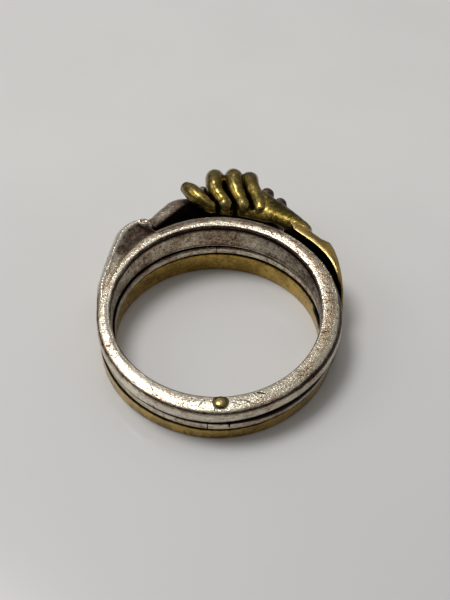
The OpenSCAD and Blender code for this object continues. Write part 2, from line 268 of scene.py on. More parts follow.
def silver_rows(a, arm):
    """The silver hoop's outline at the angles a, with or without its arm."""
    t = np.radians(a)
    signed = (a + 180) % 360 - 180
    out, shoulder, shoulder_drop = [np.interp(signed, SHOULDER[:, 0], SHOULDER[:, i]) for i in (1, 2, 3)]
    wall = wall_r(t) + out
    _, gap, face, bottom, dip, _ = [np.interp(a, SILVER_ARM[:, 0], SILVER_ARM[:, i]) for i in range(6)]
    if arm:
        outer = larger(wall, HOOP_R + face)
        low = np.minimum(SILVER_LOW, floor_at(outer * np.sin(t)) + bottom)
        cuff = 1 - ease(a, 158, 176)
        dip = dip * (1 - ease(a, 172, 180))
    else:
        outer, low, cuff, dip = wall, SILVER_LOW + 0 * a, 0 * a, 0 * a
    arm_in = np.minimum(np.maximum(HOOP_R + gap, wall - 0.35), outer - 0.3)
    rim, flare = [np.interp(a, WORN_RIM[:, 0], WORN_RIM[:, i]) for i in (1, 2)]
    rim_drop = 0.13 + 0.36 * (rim - 0.15)
    inside = HOLE_R + flare
    slant = 0.48 + 0.24 * (1 - ease(a, 150, 166))
    ridge_r = outer - mixed(shoulder, slant, cuff)
    raised = 0.13 * ease(np.sin(t), 0.1, 0.9)
    # The top face is marked darker on the far and right sides: tarnish, together with painted shade for the
    # dimmer light reflected there.
    far_shade_and_tarnish = 0.34 * ease(np.sin(t + 0.5), -0.1, 0.6) + 0.22 * ease(np.sin(t), 0.5, 0.95)
    near = ease(-np.sin(t), 0.1, 0.5)
    east = ease(np.cos(t), 0.3, 0.8)

    def top(r):
        u = (r - inside - rim) / (ridge_r - inside - rim)
        v = np.clip((u - 0.2) / 0.8, 0, 1)
        crown = 0.045 * (2 * u - 1) ** 2
        return top_at(r * np.sin(t)) + raised - crown * (1 - cuff) - dip * 4 * v * (1 - v) ** 0.8

    rows = rounded_corner(HOLE_R + SILVER_EDGE, SILVER_LOW + SILVER_EDGE, SILVER_EDGE, 270,
                          (1.0, 0.75, 0.5, 0.25))
    rim_top = top(inside + rim)
    inner_top = rim_top - rim_drop
    for share in (0.03, 0.12, 0.3, 0.5, 0.68, 0.8, 0.88, 0.94, 0.975):
        under_rim, above_seam = float(ease(share, 0.8, 0.97)), 1 - float(ease(share, 0.0, 0.2))
        # The inner wall is marked darker, most of all just under the rim, as is the lower half of the rim's
        # rounding: tarnish, together with painted shade under the rim.
        dark = 0.48 + 0.14 * east * (np.sin(t) > -0.2) + 0.5 * under_rim + 0.2 * above_seam
        height = mixed(SILVER_LOW + SILVER_EDGE, inner_top, share)
        rows.append((HOLE_R + flare * share ** 2, height, dark, 0.0))
    wide_rim = ease(rim, 0.16, 0.4)
    for i in range(10):
        corner = radians(10 * i)
        dark = 0.74 * (1 - float(ease(i, 4, 6.5)))
        bright = float(ease(i, 5, 7.5))
        # On the side nearest the camera a dark line is painted along the rim's rounding: painted shade on
        # that edge.
        painted_dark_line = 0.84 * near * max(0, 1 - abs(i - 6) / 3)
        rows.append((inside + rim * (1 - cos(corner)), rim_top - rim_drop * (1 - sin(corner)),
                     np.maximum(dark * mixed(0.4, 1, wide_rim), painted_dark_line), bright * (1 - painted_dark_line)))
    for i in range(1, 15):
        r = mixed(inside + rim, ridge_r, i / 15)
        rim_wear = 1 - float(ease(i / 15, 0.0, 0.25))
        edge_wear = float(ease(i / 15, 0.8, 1.0))
        v = max(0, (i / 15 - 0.2) / 0.8)
        # In the cuff's valley the mark darkens: patina, with painted shade in the valley.
        deep = min(1, 4 * v * (1 - v)) ** 0.7 * ease(dip, 0.05, 0.4)
        # The top face is marked lighter on the near left: wear on the rim, with painted light where that face
        # catches more light.
        wear_and_near_left_light = mixed(rim_wear * 0.25, rim_wear * 0.3 + 0.5, ease(-np.sin(t) - np.cos(t), -0.1, 0.5))
        rows.append((r, top(r), deep * 0.76 + far_shade_and_tarnish * (1 - deep), mixed(wear_and_near_left_light, edge_wear, cuff)))
    crest = top(ridge_r)
    for i in range(8):
        turn = radians(90 * i / 7)
        plain_r, plain_z = outer - shoulder * (1 - sin(turn)), crest - shoulder_drop * (1 - cos(turn))
        lean = mixed(CUFF_LEAN, pi / 2, i / 7)
        cuff_r = outer - slant * (1 - sin(lean)) / (1 - sin(CUFF_LEAN))
        cuff_z = crest - CUFF_DROP * (cos(CUFF_LEAN) - cos(lean)) / cos(CUFF_LEAN)
        bright = mixed(0.35 * (1 - i / 7), 0.9 - 0.5 * i / 7, cuff)
        # A dark line runs round the outer shoulder, strongest on the right: a painted dark reflection, with
        # some patina.
        painted_dark_line = max(0, sin(pi * min(1, max(0, (i - 1.6) / 4.6))))
        painted_dark_line = mixed(painted_dark_line ** 1.5 * 0.76, painted_dark_line ** 0.6 * 0.86, east)
        rows.append((mixed(plain_r, cuff_r, cuff), mixed(plain_z, cuff_z, cuff),
                     (1 - cuff) * np.maximum(painted_dark_line, far_shade_and_tarnish * (1 - i / 7)), bright))
    high = crest - mixed(shoulder_drop, CUFF_DROP, cuff)
    # The outer wall is marked lighter on the side nearest the camera: painted sheen of the floor it reflects,
    # over a little wear.
    for share in (0.04, 0.14, 0.3, 0.5, 0.7, 0.86, 0.96):
        belly = 0.05 * cuff * sin(pi * share)
        dark = 0.35 * float(ease(share, 0.8, 1))
        rows.append((outer + belly, mixed(high, low + 0.27, share), dark, 0.1 + 0.5 * near))
    # The arm's foot, its underside and its inner face beside the lower hoops are marked nearly black: painted
    # shade in the narrow gap, with dark patina.
    foot = SILVER_EDGE + 0.14 * ease(-np.cos(np.radians(a - 140)), 0.5, 0.98)
    rows += rounded_corner(outer - foot, low + foot, foot, 0, (0.45, 0.65, 0.85, 1.05))
    rows.append((mixed(outer - foot, arm_in + 0.04, 0.5), low, 0.95, 0))
    rows.append((arm_in + 0.04, low, 0.6, 0))
    for i in range(4):
        rows.append((arm_in - 0.03 * i, mixed(low + 0.04, SILVER_LOW, i / 3), 0.9, 0))
    for share in (0.3, 0.6, 0.9):
        rows.append((mixed(arm_in - 0.09, HOLE_R + 0.12, share), SILVER_LOW, 0.9, 0))
    return outline_rows(rows, len(a)), outer, arm_in


def silver_band():
    near_mouth = list(MOUTH_STEPS[:, 0]) + [0.25, 0.5, 0.9, 1.4, 2.0, 2.7, 3.5, 4.4, 5.4, 6.4, 7.4, 8.4]
    stations = crowded(0.62, (MOUTH, near_mouth))
    arm_rows, outer, arm_in = silver_rows(stations, True)
    plain_rows, _, _ = silver_rows(stations, False)
    order = np.argsort(MOUTH_STEPS[:, 0])
    past = stations - MOUTH
    gone = np.interp(past, MOUTH_STEPS[order, 0], MOUTH_STEPS[order, 1], left=1, right=0)
    back = np.interp(past, MOUTH_STEPS[order, 0], MOUTH_STEPS[order, 2], left=0, right=0)
    gone = np.where(stations > 180, 1.0, gone)[:, None]
    rows = {n: mixed(arm_rows[n], plain_rows[n], gone) for n in arm_rows}
    lag = np.interp(stations, SILVER_ARM[:, 0], SILVER_ARM[:, 5]) * (stations < 180) * (past > -0.1)
    out = np.clip((rows["radius"] - arm_in[:, None]) / (outer - arm_in)[:, None], 0, 1)
    armness = ease(arm_rows["radius"], HOOP_R - 0.2, HOOP_R + 0.15) * (stations < 180)[:, None]
    angle = stations[:, None] + lag[:, None] * out + back[:, None] * armness
    # The set-back inside of the cuff's mouth is marked dark: painted shade in the recess.
    rows["hollow"] = np.maximum(rows["hollow"], armness * ease(back, 0.2, 1.2)[:, None])
    places = placed(rows["radius"], angle, rows["height"])
    return spun_band("silver_band", stations, places, {n: rows[n] for n in ("hollow", "worn")}, SILVER_TURN)


# The brass hoop

# The arm that carries the brass hand. It stands outside the two upper hoops and rises past them.
# Columns: angle, clear space to the upper hoops, outer face, top.
BRASS_ARM = np.array([
    (-22, -0.66, -0.60, 1.68),
    (-16, -0.30, -0.22, 1.68),
    (-6, 0.02, 0.02, 1.68),
    (0, 0.20, 0.22, 1.70),
    (4, 0.32, 0.46, 1.95),
    (8, 0.34, 0.60, 2.90),
    (12, 0.38, 0.76, 3.85),
    (18, 0.45, 1.00, 4.60),
    (24, 0.50, 1.36, 4.90),
    (30, 0.50, 1.74, 5.00),
    (34, 0.50, 1.94, 5.02),
    (38, 0.50, 1.68, 5.00),
    (43, 0.50, 1.66, 5.00),
    (47, 0.52, 1.96, 5.00),
    (50, 0.60, 2.16, 5.00),
    (52.5, 0.95, 2.28, 4.98),
    (56, 1.45, 2.42, 4.90)])
ARM_END = 56.0
CREASES = ((50.2, 0.05), (52.6, 0.07))


def brass_rows(a, arm):
    """The brass hoop's outline at the angles a, from -180 to 180, with or without its arm."""
    t = np.radians(a)
    wall = wall_r(t)
    _, gap, face, top = [np.interp(a, BRASS_ARM[:, 0], BRASS_ARM[:, i]) for i in range(4)]
    if arm:
        outer = larger(wall, HOOP_R + face)
        top = np.maximum(top, BRASS_TOP)
    else:
        outer, top = wall, BRASS_TOP + 0 * a
    risen = ease(top, BRASS_TOP, BRASS_TOP + 1.5)
    low = floor_at(outer * np.sin(t)) + LIFT
    inner_low = floor_at(HOLE_R * np.sin(t)) + LIFT
    arm_in = np.minimum(np.maximum(HOOP_R + gap, wall - 0.4), outer - 0.22)
    round_out = mixed(0.13, np.minimum(0.42, (outer - arm_in) * 0.6), risen)
    crown = 0.10 * risen
    groove = 0 * a
    for angle, depth in CREASES:
        groove = groove + depth * np.exp(-((a - angle) / 0.28) ** 2) * arm

    rows = rounded_corner(HOLE_R + BRASS_EDGE, inner_low + BRASS_EDGE, BRASS_EDGE, 270, (0.2,) * 4, 0.2)
    for share in (0.05, 0.2, 0.4, 0.6, 0.8, 0.95):
        rows.append((HOLE_R, mixed(inner_low + BRASS_EDGE, BRASS_TOP - WORN_BRASS_EDGE, share), 0.12, 0.1))
    rows += rounded_corner(HOLE_R + WORN_BRASS_EDGE, BRASS_TOP - WORN_BRASS_EDGE, WORN_BRASS_EDGE, 180,
                           (0.3, 0.6, 0.9, 1.2))
    for share in (0.08, 0.25, 0.5, 0.75, 0.95):
        rows.append((mixed(HOLE_R + BRASS_EDGE, arm_in, share), BRASS_TOP, slid_dark(share), 0))
    # The arm's inner face, which looks into the narrow gap beside the upper hoops, is marked black: painted
    # shade in the gap, with dark patina.
    for i, rise in enumerate((0, 0.06, 0.25, 0.5, 0.75, 0.92, 1)):
        dark = 0.9 if rise == 1 else 1.0
        rows.append((arm_in + 0.012 * i, mixed(BRASS_TOP, top - 0.1 * risen, rise), dark, 0.0))
    flat_in = arm_in + 0.07 + 0.07 * risen
    rows.append((mixed(arm_in + 0.072, flat_in, 0.4), top - 0.035 * risen, 0.1, 0.9))
    # Where the arm stays low beside the hoops, its top and rounded edge are marked black as well: painted
    # shade.
    flat_out = outer - round_out
    for share in (0.0, 0.15, 0.35, 0.55, 0.75, 0.92):
        r = mixed(flat_in, flat_out, share)
        rows.append((r, top - crown * (share - 0.35) ** 2 * 2.2 - groove, mixed(1.0, 0.1, risen),
                     risen * mixed(0.8, 0.3, min(1, share * 4))))
    crest = top - crown * (1 - 0.35) ** 2 * 2.2
    for i in range(7):
        turn = radians(90 * i / 6)
        rows.append((outer - round_out * (1 - sin(turn)) - groove * sin(turn),
                     crest - round_out * (1 - cos(turn)) - groove * cos(turn),
                     mixed(1.0 - 0.1 * i, 0.05, risen), 0.5 * risen))
    high = crest - round_out
    for share in (0.04, 0.12, 0.25, 0.4, 0.55, 0.7, 0.85, 0.95):
        rows.append((outer - groove * (1 - share), mixed(high, low + BRASS_EDGE, share),
                     0.1 + 0.2 * share, 0.35 * (1 - share)))
    rows += rounded_corner(outer - BRASS_EDGE, low + BRASS_EDGE, BRASS_EDGE, 0, (0.3,) * 4, 0.1)
    for share in (0.15, 0.4, 0.7, 0.95):
        r = mixed(outer - BRASS_EDGE, HOLE_R + BRASS_EDGE, share)
        rows.append((r, floor_at(r * np.sin(t)) + LIFT, 0.5, 0))
    rows = outline_rows(rows, len(a))
    if arm:
        # Near its root the arm is marked black all round and its wear is taken off: painted shade.
        inward = 1 - ease(rows["radius"] - outer[:, None], -0.30, -0.08)
        root = ease(a, -4, 3) * (1 - ease(a, 11, 20)) * (rows["height"] > 1.2).T * inward.T
        rows["hollow"] = np.maximum(rows["hollow"], root.T)
        rows["worn"] = rows["worn"] * (1 - root.T)
    return rows, outer


def brass_band():
    grooves = np.arange(-0.7, 0.71, 0.14)
    near = np.concatenate([angle + grooves for angle, _ in CREASES]
                          + [ARM_END + np.array([-0.8, -0.4, -0.15, 0, 0.04, 0.07, 0.09, 0.11, 0.4])])
    stations = crowded(0.65, (0, near))
    around = np.where(stations > 180, stations - 360, stations)
    arm_rows, outer = brass_rows(around, True)
    plain_rows, _ = brass_rows(around, False)
    gone = np.interp(around - ARM_END, [0, 0.04, 0.07, 0.09, 0.11], [0, 0.02, 0.06, 0.12, 1])[:, None]
    rows = {n: mixed(arm_rows[n], plain_rows[n], gone) for n in arm_rows}
    places = placed(rows["radius"], stations[:, None] + 0 * rows["radius"], rows["height"])
    return spun_band("brass_band", stations, places, {n: rows[n] for n in ("hollow", "worn")})


# The plain middle hoop, whose metal was closed with solder at one side of the rivet

SEAMS = ((264.2, 0.07), (90.4, 0.03))
NOTCH = 273.6


def middle_band():
    close = np.array([-0.6, -0.35, -0.2, -0.12, -0.06, 0, 0.06, 0.12, 0.2, 0.35, 0.6])
    stations = crowded(0.65, *[(angle, close) for angle, _ in SEAMS], (NOTCH, close * 1.5))
    t = np.radians(stations)
    wall = wall_r(t)
    groove = sum(depth * np.exp(-((stations - angle) / 0.17) ** 2) for angle, depth in SEAMS)
    nick = 0.14 * np.exp(-((stations - NOTCH) / 0.3) ** 2)
    edge, worn_edge = SILVER_EDGE, 0.2
    signed = (stations + 180) % 360 - 180
    opened = ease(signed, -85, -60) * (1 - ease(signed, -16, 4))
    open_gap = edge + 0.20 * opened + 0.05 * ease(np.sin(t), 0.0, 0.5)
    rows = rounded_corner(HOLE_R + edge + groove, MIDDLE_LOW + edge, edge, 270, (0.5,) * 4)
    for share in (0.1, 0.35, 0.65, 0.9):
        rows.append((HOLE_R + groove, mixed(MIDDLE_LOW + edge, MIDDLE_TOP - edge, share), 0.1, 0.1))
    rows += rounded_corner(HOLE_R + worn_edge + groove, MIDDLE_TOP - worn_edge, worn_edge, 180,
                           (0.4, 0.7, 1.0, 1.3))
    for share in (0.05, 0.25, 0.5, 0.75, 0.95):
        rows.append((mixed(HOLE_R + edge, wall - edge, share), MIDDLE_TOP, slid_dark(share), 0))
    rows += rounded_corner(wall - open_gap - groove - nick, MIDDLE_TOP - open_gap - nick * 0.9, open_gap, 90,
                           (1.0, 0.95, 0.9, 0.85))
    for share in (0.1, 0.3, 0.5, 0.7, 0.9):
        height = mixed(MIDDLE_TOP - open_gap, MIDDLE_LOW + edge, share)
        dark = 0.5 * (1 - float(ease(share, 0.1, 0.3)))
        rows.append((wall - groove - nick * (1 - share), height, dark, 0.2))
    rows += rounded_corner(wall - edge - groove, MIDDLE_LOW + edge, edge, 0, (0.5,) * 4)
    for share in (0.1, 0.5, 0.9):
        rows.append((mixed(wall - edge, HOLE_R + edge, share), MIDDLE_LOW, 0.9, 0))
    rows = outline_rows(rows, len(stations))
    high = ease(rows["height"], MIDDLE_TOP - 0.65, MIDDLE_TOP - 0.45)
    rows["hollow"] = np.clip(rows["hollow"] + groove[:, None] / 0.04 + nick[:, None] / 0.06 * high, 0, 1)
    places = placed(rows["radius"], stations[:, None] + 0 * rows["radius"], rows["height"])
    return spun_band("middle_band", stations, places, {n: rows[n] for n in ("hollow", "worn")}, MIDDLE_TURN)


# The rivet's domed head

def rivet_head():
    """A pin through all three hoops, its upper end hammered into a low dome."""
    radius, dome, sunk = 0.55, 0.12, 0.05
    low = floor_at(-RIVET_R) + sunk
    high = top_at(-RIVET_R) - sunk
    bm = bmesh.new()
    outline = [(0, low), (radius, low), (radius, high - 0.4), (radius, high - 0.1), (radius, high)]
    for i in range(1, 13):
        turn = radians(90 * i / 12)
        outline.append((radius * cos(turn), high + (dome + sunk) * sin(turn) ** 1.3))
    outline[-1] = (0, high + dome + sunk)
    verts = [bm.verts.new((r, 0, z)) for r, z in outline]
    edges = [bm.edges.new(pair) for pair in zip(verts, verts[1:])]
    bmesh.ops.spin(bm, geom=verts + edges, cent=(0, 0, 0), axis=(0, 0, 1), dvec=(0, 0, 0),
                   angle=2 * pi, steps=64, use_merge=True)
    bmesh.ops.remove_doubles(bm, verts=bm.verts, dist=1e-4)
    bmesh.ops.recalc_face_normals(bm, faces=bm.faces)
    bmesh.ops.translate(bm, vec=(0, RIVET_IN - RIVET_R, 0), verts=bm.verts)
    mesh = bpy.data.meshes.new("rivet_head")
    bm.to_mesh(mesh)
    bm.free()
    places = read_places(mesh)
    out = np.hypot(places[:, 0], places[:, 1] + RIVET_R - RIVET_IN)
    set_mark(mesh, "hollow", ease(out, 0.46, 0.55))
    set_mark(mesh, "worn", 0.6 - 0.6 * ease(out, 0.2, 0.45))
    mesh.vertices.foreach_set("co", laid(places).ravel())
    mesh.update()
    shade_smooth(mesh)
    return new_object("rivet_head", mesh)


# The hands. Casting them in one piece takes a little off all round, which limbs are given beforehand.
SKIN = 0.10


def smooth_stations(stations, per=5):
    """More stations along a limb, on a smooth curve through its own."""
    s = np.asarray(stations, float)
    ends = np.vstack([2 * s[0] - s[1], s, 2 * s[-1] - s[-2]])
    rows = []
    for i in range(1, len(ends) - 2):
        before, a, b, after = ends[i - 1:i + 3]
        for u in np.arange(per) / per:
            rows.append(0.5 * (2 * a + (b - before) * u + (2 * before - 5 * a + 4 * b - after) * u ** 2
                               + (3 * a - before - 3 * b + after) * u ** 3))
    rows.append(s[-1])
    return np.array(rows)


def limb(bm, stations, up=(1, 0, 0), sides=24, smooth=True):
    """A round-ended limb. Columns of its stations: x, y beyond the hoops' outer wall, z, half its width
    and half its height. Rings of points are bridged, and the ends are closed with half balls."""
    rows = smooth_stations(stations) if smooth else np.asarray(stations, float)
    path = rows[:, :3] + (0, HOOP_R, 0)
    rows[:, 3:5] += SKIN
    loops = []
    last = len(rows) - 1
    for i, row in enumerate(rows):
        along = Vector(path[min(i + 1, last)] - path[max(i - 1, 0)]).normalized()
        across = Vector(up).cross(along).normalized()
        upright = along.cross(across)
        shape = Matrix((across * row[3], upright * row[4], along)).transposed().to_4x4()
        where = Matrix.Translation(path[i]) @ shape
        ring = bmesh.ops.create_circle(bm, cap_ends=i in (0, last), segments=sides, radius=1, matrix=where)
        loops.append({e for v in ring["verts"] for e in v.link_edges})
        if i in (0, last):
            thick = min(row[3], row[4])
            ball = Matrix((across * row[3], upright * row[4], along * thick)).transposed().to_4x4()
            bmesh.ops.create_uvsphere(bm, u_segments=20, v_segments=12, radius=1,
                                      matrix=Matrix.Translation(path[i]) @ ball)
    for a, b in zip(loops, loops[1:]):
        bmesh.ops.bridge_loops(bm, edges=list(a | b))


def cast_in_one(name, bm, voxel, rounds):
    """Overlapping limbs made one skin, with its corners filled and softened as in a casting."""
    bmesh.ops.recalc_face_normals(bm, faces=bm.faces)
    mesh = bpy.data.meshes.new(name + "_limbs")
    bm.to_mesh(mesh)
    bm.free()
    rough = new_object(name + "_limbs", mesh)
    skin = rough.modifiers.new("one_skin", "REMESH")
    skin.mode = "VOXEL"
    skin.voxel_size = voxel
    bpy.context.view_layer.update()
    cast = bpy.data.meshes.new_from_object(rough.evaluated_get(bpy.context.evaluated_depsgraph_get()))
    bpy.data.objects.remove(rough)
    bm = bmesh.new()
    bm.from_mesh(cast)
    for _ in range(rounds):
        bmesh.ops.smooth_vert(bm, verts=bm.verts, factor=0.5, use_axis_x=True, use_axis_y=True,
                              use_axis_z=True)
    return cast, bm


def neighbours(mesh):
    ends = np.empty(len(mesh.edges) * 2, np.int32)
    mesh.edges.foreach_get("vertices", ends)
    ends = ends.reshape(-1, 2)
    return np.concatenate([ends[:, 0], ends[:, 1]]), np.concatenate([ends[:, 1], ends[:, 0]])


def averaged(values, at, of, rounds):
    """Each point's value, averaged with its neighbours' some times over."""
    count = np.bincount(at, minlength=len(values))[:, None]
    for _ in range(rounds):
        total = np.stack([np.bincount(at, values[of, i], len(values)) for i in range(values.shape[1])], 1)
        values = (values + total / count) / 2
    return values


def mark_relief(mesh, deep, fine, grime_and_shade):
    """Marks how deep in a recess each point of a hand is, with the given darkness, painted shade included,
    added to it, and how far it stands out.
    """
    at, of = neighbours(mesh)
    places = read_places(mesh)
    flat = np.empty(len(mesh.vertices) * 3)
    mesh.vertex_normals.foreach_get("vector", flat)
    normal = flat.reshape(-1, 3)
    near = ((averaged(places, at, of, 10) - places) * normal).sum(1)
    wide = ((averaged(places, at, of, 90) - places) * normal).sum(1)
    hollow = ease(near, 0.0, fine) * 0.35 + ease(wide, -0.01, deep) * 0.8
    worn = ease(-near, 0.0, fine) * 0.6 + ease(-wide, 0.02, deep) * 0.5
    soft = averaged(np.stack([hollow, worn], 1), at, of, 3)
    set_mark(mesh, "hollow", np.clip(soft[:, 0] + grime_and_shade, 0, 1))
    set_mark(mesh, "worn", np.clip(soft[:, 1] - soft[:, 0] * 0.5 - ease(grime_and_shade, 0.3, 0.8), 0, 1))


def finished_hand(name, bm, cast, grime_and_shade, turn):
    """The cast hand, a little uneven. The function passed in tells how dark each point is beside its relief:
    darker metal, and painted shade where other parts hide it.
    """
    bm.to_mesh(cast)
    bm.free()
    places = read_places(cast)
    places = places + lumpy(places, depth=0.02, size=0.45)
    cast.vertices.foreach_set("co", places.ravel())
    cast.update()
    mark_relief(cast, deep=0.16, fine=0.018, grime_and_shade=grime_and_shade(places))
    cast.vertices.foreach_set("co", laid(places, turn).ravel())
    cast.update()
    shade_smooth(cast)
    return new_object(name, cast)


def lumpy(places, depth, size):
    """The slight unevenness of a hand-finished casting."""
    return np.array([[noise.noise(Vector(p) / size + Vector((k * 7.3, 2.1, k))) for k in range(3)]
                     for p in places]) * depth


# Fingers of the brass hand. Columns: x, y beyond the hoops' outer wall, z, half width, half height.
BRASS_LIMBS = {
    "index": [
        (-0.16, 1.94, 4.14, 0.50, 0.46), (-0.68, 2.22, 4.28, 0.66, 0.58), (-1.22, 2.76, 4.40, 0.76, 0.68),
        (-1.70, 3.42, 4.44, 0.74, 0.70), (-2.08, 4.04, 4.40, 0.62, 0.66), (-2.38, 4.50, 4.26, 0.52, 0.56)],
    "middle": [
        (1.18, 1.76, 4.34, 0.55, 0.52), (1.10, 2.00, 4.48, 0.54, 0.54), (0.94, 2.42, 4.53, 0.50, 0.50),
        (0.70, 2.86, 4.57, 0.56, 0.54), (0.42, 3.38, 4.62, 0.66, 0.60), (0.22, 3.95, 4.64, 0.88, 0.68),
        (0.18, 4.60, 4.62, 0.94, 0.76), (0.24, 5.30, 4.54, 0.88, 0.82), (0.27, 5.82, 4.24, 0.80, 0.80),
        (0.27, 6.04, 3.98, 0.74, 0.74)],
    "ring": [
        (2.80, 1.68, 4.34, 0.56, 0.54), (2.72, 1.96, 4.48, 0.54, 0.54), (2.58, 2.40, 4.53, 0.49, 0.50),
        (2.44, 2.82, 4.57, 0.54, 0.54), (2.26, 3.35, 4.60, 0.68, 0.62), (2.11, 3.90, 4.62, 0.78, 0.68),
        (2.03, 4.50, 4.60, 0.86, 0.74), (2.03, 5.25, 4.54, 0.92, 0.82), (2.03, 5.78, 4.24, 0.86, 0.80),
        (2.03, 6.00, 3.98, 0.78, 0.74)],
    "little": [
        (4.34, 1.36, 4.30, 0.62, 0.56), (4.26, 1.80, 4.46, 0.54, 0.54), (4.14, 2.40, 4.52, 0.48, 0.54),
        (3.98, 3.10, 4.58, 0.50, 0.56), (3.80, 3.75, 4.60, 0.52, 0.60), (3.66, 4.35, 4.58, 0.56, 0.64),
        (3.58, 5.02, 4.52, 0.58, 0.70), (3.54, 5.58, 4.36, 0.56, 0.72), (3.54, 5.92, 4.00, 0.52, 0.64)]}
# The knuckles' bridge and the palm
BRASS_KNUCKLES = [
    (-0.70, 2.36, 3.92, 0.46, 0.44), (0.40, 2.06, 3.92, 0.50, 0.44), (1.60, 1.86, 3.92, 0.52, 0.44),
    (2.75, 1.66, 3.94, 0.56, 0.46), (4.20, 1.40, 4.00, 0.86, 0.52), (5.20, 1.04, 4.12, 1.00, 0.56)]
# Where the gaps between the fingers run: x at the knuckles and x at the far ends
FINGER_GAPS = ((0.42, 0.42), (1.98, 1.13), (3.56, 2.95))
# A web low between the fingers, marked black: a dark sheet of painted shade filling the gaps between them
BRASS_SHADE_WEB = [
    (-0.10, 3.30, 3.50, 1.25, 0.34), (0.90, 4.10, 3.60, 2.05, 0.36), (1.90, 4.15, 3.60, 2.10, 0.36),
    (2.80, 4.00, 3.60, 1.95, 0.36), (3.90, 3.20, 3.60, 1.40, 0.40)]
BRASS_PALM = [
    (8.10, -1.45, 4.15, 0.64, 0.76), (7.25, -0.55, 4.24, 0.82, 0.70), (6.40, 0.30, 4.28, 0.98, 0.62),
    (5.55, 1.08, 4.30, 1.12, 0.56), (4.95, 1.90, 4.32, 1.02, 0.52), (4.60, 2.70, 4.32, 0.80, 0.50),
    (4.36, 3.30, 4.30, 0.52, 0.46)]


def brass_hand():
    bm = bmesh.new()
    for stations in BRASS_LIMBS.values():
        limb(bm, stations)
    limb(bm, BRASS_KNUCKLES, up=(0, 0, 1))
    limb(bm, BRASS_SHADE_WEB, up=(0, 0, 1))
    limb(bm, BRASS_PALM, up=(0, 0, 1))
    cast, bm = cast_in_one("brass_hand", bm, voxel=0.05, rounds=9)

    def grime_and_shade(p):
        palm = ease(p[:, 0], 4.3, 5.2) * (1 - ease(p[:, 0], 7.6, 8.4))
        beyond = p[:, 1] - HOOP_R
        # Low between the knuckles and along the gaps between the fingers the hand is marked dark: painted
        # shade in the creases.
        between = (1 - ease(p[:, 2], 4.22, 4.44)) * ease(beyond, 1.35, 1.70) * (1 - ease(p[:, 0], 4.0, 4.4))
        for near_x, far_x in FINGER_GAPS:
            off = p[:, 0] - mixed(near_x, far_x, ease(beyond, 1.8, 4.4))
            painted_dark_line = np.exp(-(off / 0.24) ** 2) * ease(beyond, 0.9, 1.2)
            between = np.maximum(between, painted_dark_line * (1 - ease(p[:, 2], 4.55, 4.95)))
        # Some patina all over and more on the palm; everything low down, the web with it, is painted black as
        # shade.
        return 0.16 + 0.34 * palm + between + 0.9 * (1 - ease(p[:, 2], 3.45, 3.95))

    return finished_hand("brass_hand", bm, cast, grime_and_shade, 0.0)


# The silver hand lies under the brass one, with its fingers curled up round the outer side
SILVER_LIMBS = {
    "index": [
        (5.10, 1.80, 0.62, 0.70, 0.70), (5.70, 2.45, 0.50, 0.68, 0.68), (6.15, 3.00, 0.72, 0.68, 0.66),
        (6.45, 3.40, 1.18, 0.66, 0.62), (6.58, 3.62, 1.75, 0.60, 0.60), (6.58, 3.70, 2.30, 0.58, 0.58),
        (6.55, 3.70, 2.66, 0.56, 0.54)],
    "middle": [
        (3.90, 2.00, 0.60, 0.74, 0.72), (4.50, 3.20, 0.46, 0.70, 0.70), (4.95, 4.20, 0.62, 0.70, 0.68),
        (5.20, 4.78, 1.06, 0.68, 0.64), (5.32, 5.02, 1.65, 0.62, 0.58), (5.40, 5.12, 2.25, 0.60, 0.58),
        (5.44, 5.10, 2.66, 0.58, 0.56)],
    "thumb": [
        (-2.60, 3.20, 2.10, 0.80, 0.70), (-1.70, 4.20, 2.45, 0.72, 0.62), (-1.10, 4.95, 2.70, 0.62, 0.56),
        (-0.75, 5.45, 2.80, 0.56, 0.50)],
    "ring": [
        (2.40, 2.00, 0.60, 0.74, 0.72), (2.90, 3.30, 0.46, 0.70, 0.70), (3.30, 4.40, 0.58, 0.70, 0.68),
        (3.50, 5.00, 1.02, 0.68, 0.64), (3.60, 5.24, 1.60, 0.60, 0.58), (3.62, 5.26, 2.10, 0.54, 0.52)],
    "little": [
        (0.95, 1.90, 0.65, 0.68, 0.68), (1.30, 3.10, 0.50, 0.64, 0.64), (1.65, 4.20, 0.60, 0.64, 0.62),
        (1.80, 4.80, 1.00, 0.62, 0.58), (1.90, 5.02, 1.52, 0.55, 0.54), (1.92, 5.04, 1.95, 0.50, 0.50)]}
SILVER_KNUCKLES = [
    (0.20, 2.30, 0.95, 0.90, 0.95), (2.20, 2.25, 0.92, 1.00, 1.00), (4.00, 2.20, 0.92, 1.00, 1.00),
    (5.00, 2.10, 0.95, 0.90, 0.90)]
# The wrist and the palm, from inside the cuff
SILVER_PALM = [
    (-6.75, -0.75, 2.40, 0.72, 1.55), (-6.40, -0.36, 2.44, 0.86, 1.68), (-5.86, 0.22, 2.42, 0.84, 1.54),
    (-5.10, 0.92, 2.38, 0.92, 1.42), (-4.10, 1.96, 2.38, 1.14, 1.40), (-2.95, 2.98, 2.30, 1.36, 1.38),
    (-1.30, 3.25, 1.85, 1.55, 1.38), (0.60, 3.20, 1.68, 1.60, 1.33), (2.60, 3.15, 1.68, 1.46, 1.30),
    (4.40, 2.80, 1.68, 1.30, 1.26), (5.30, 2.40, 1.68, 1.10, 1.10), (5.95, 1.90, 1.80, 0.90, 1.00)]
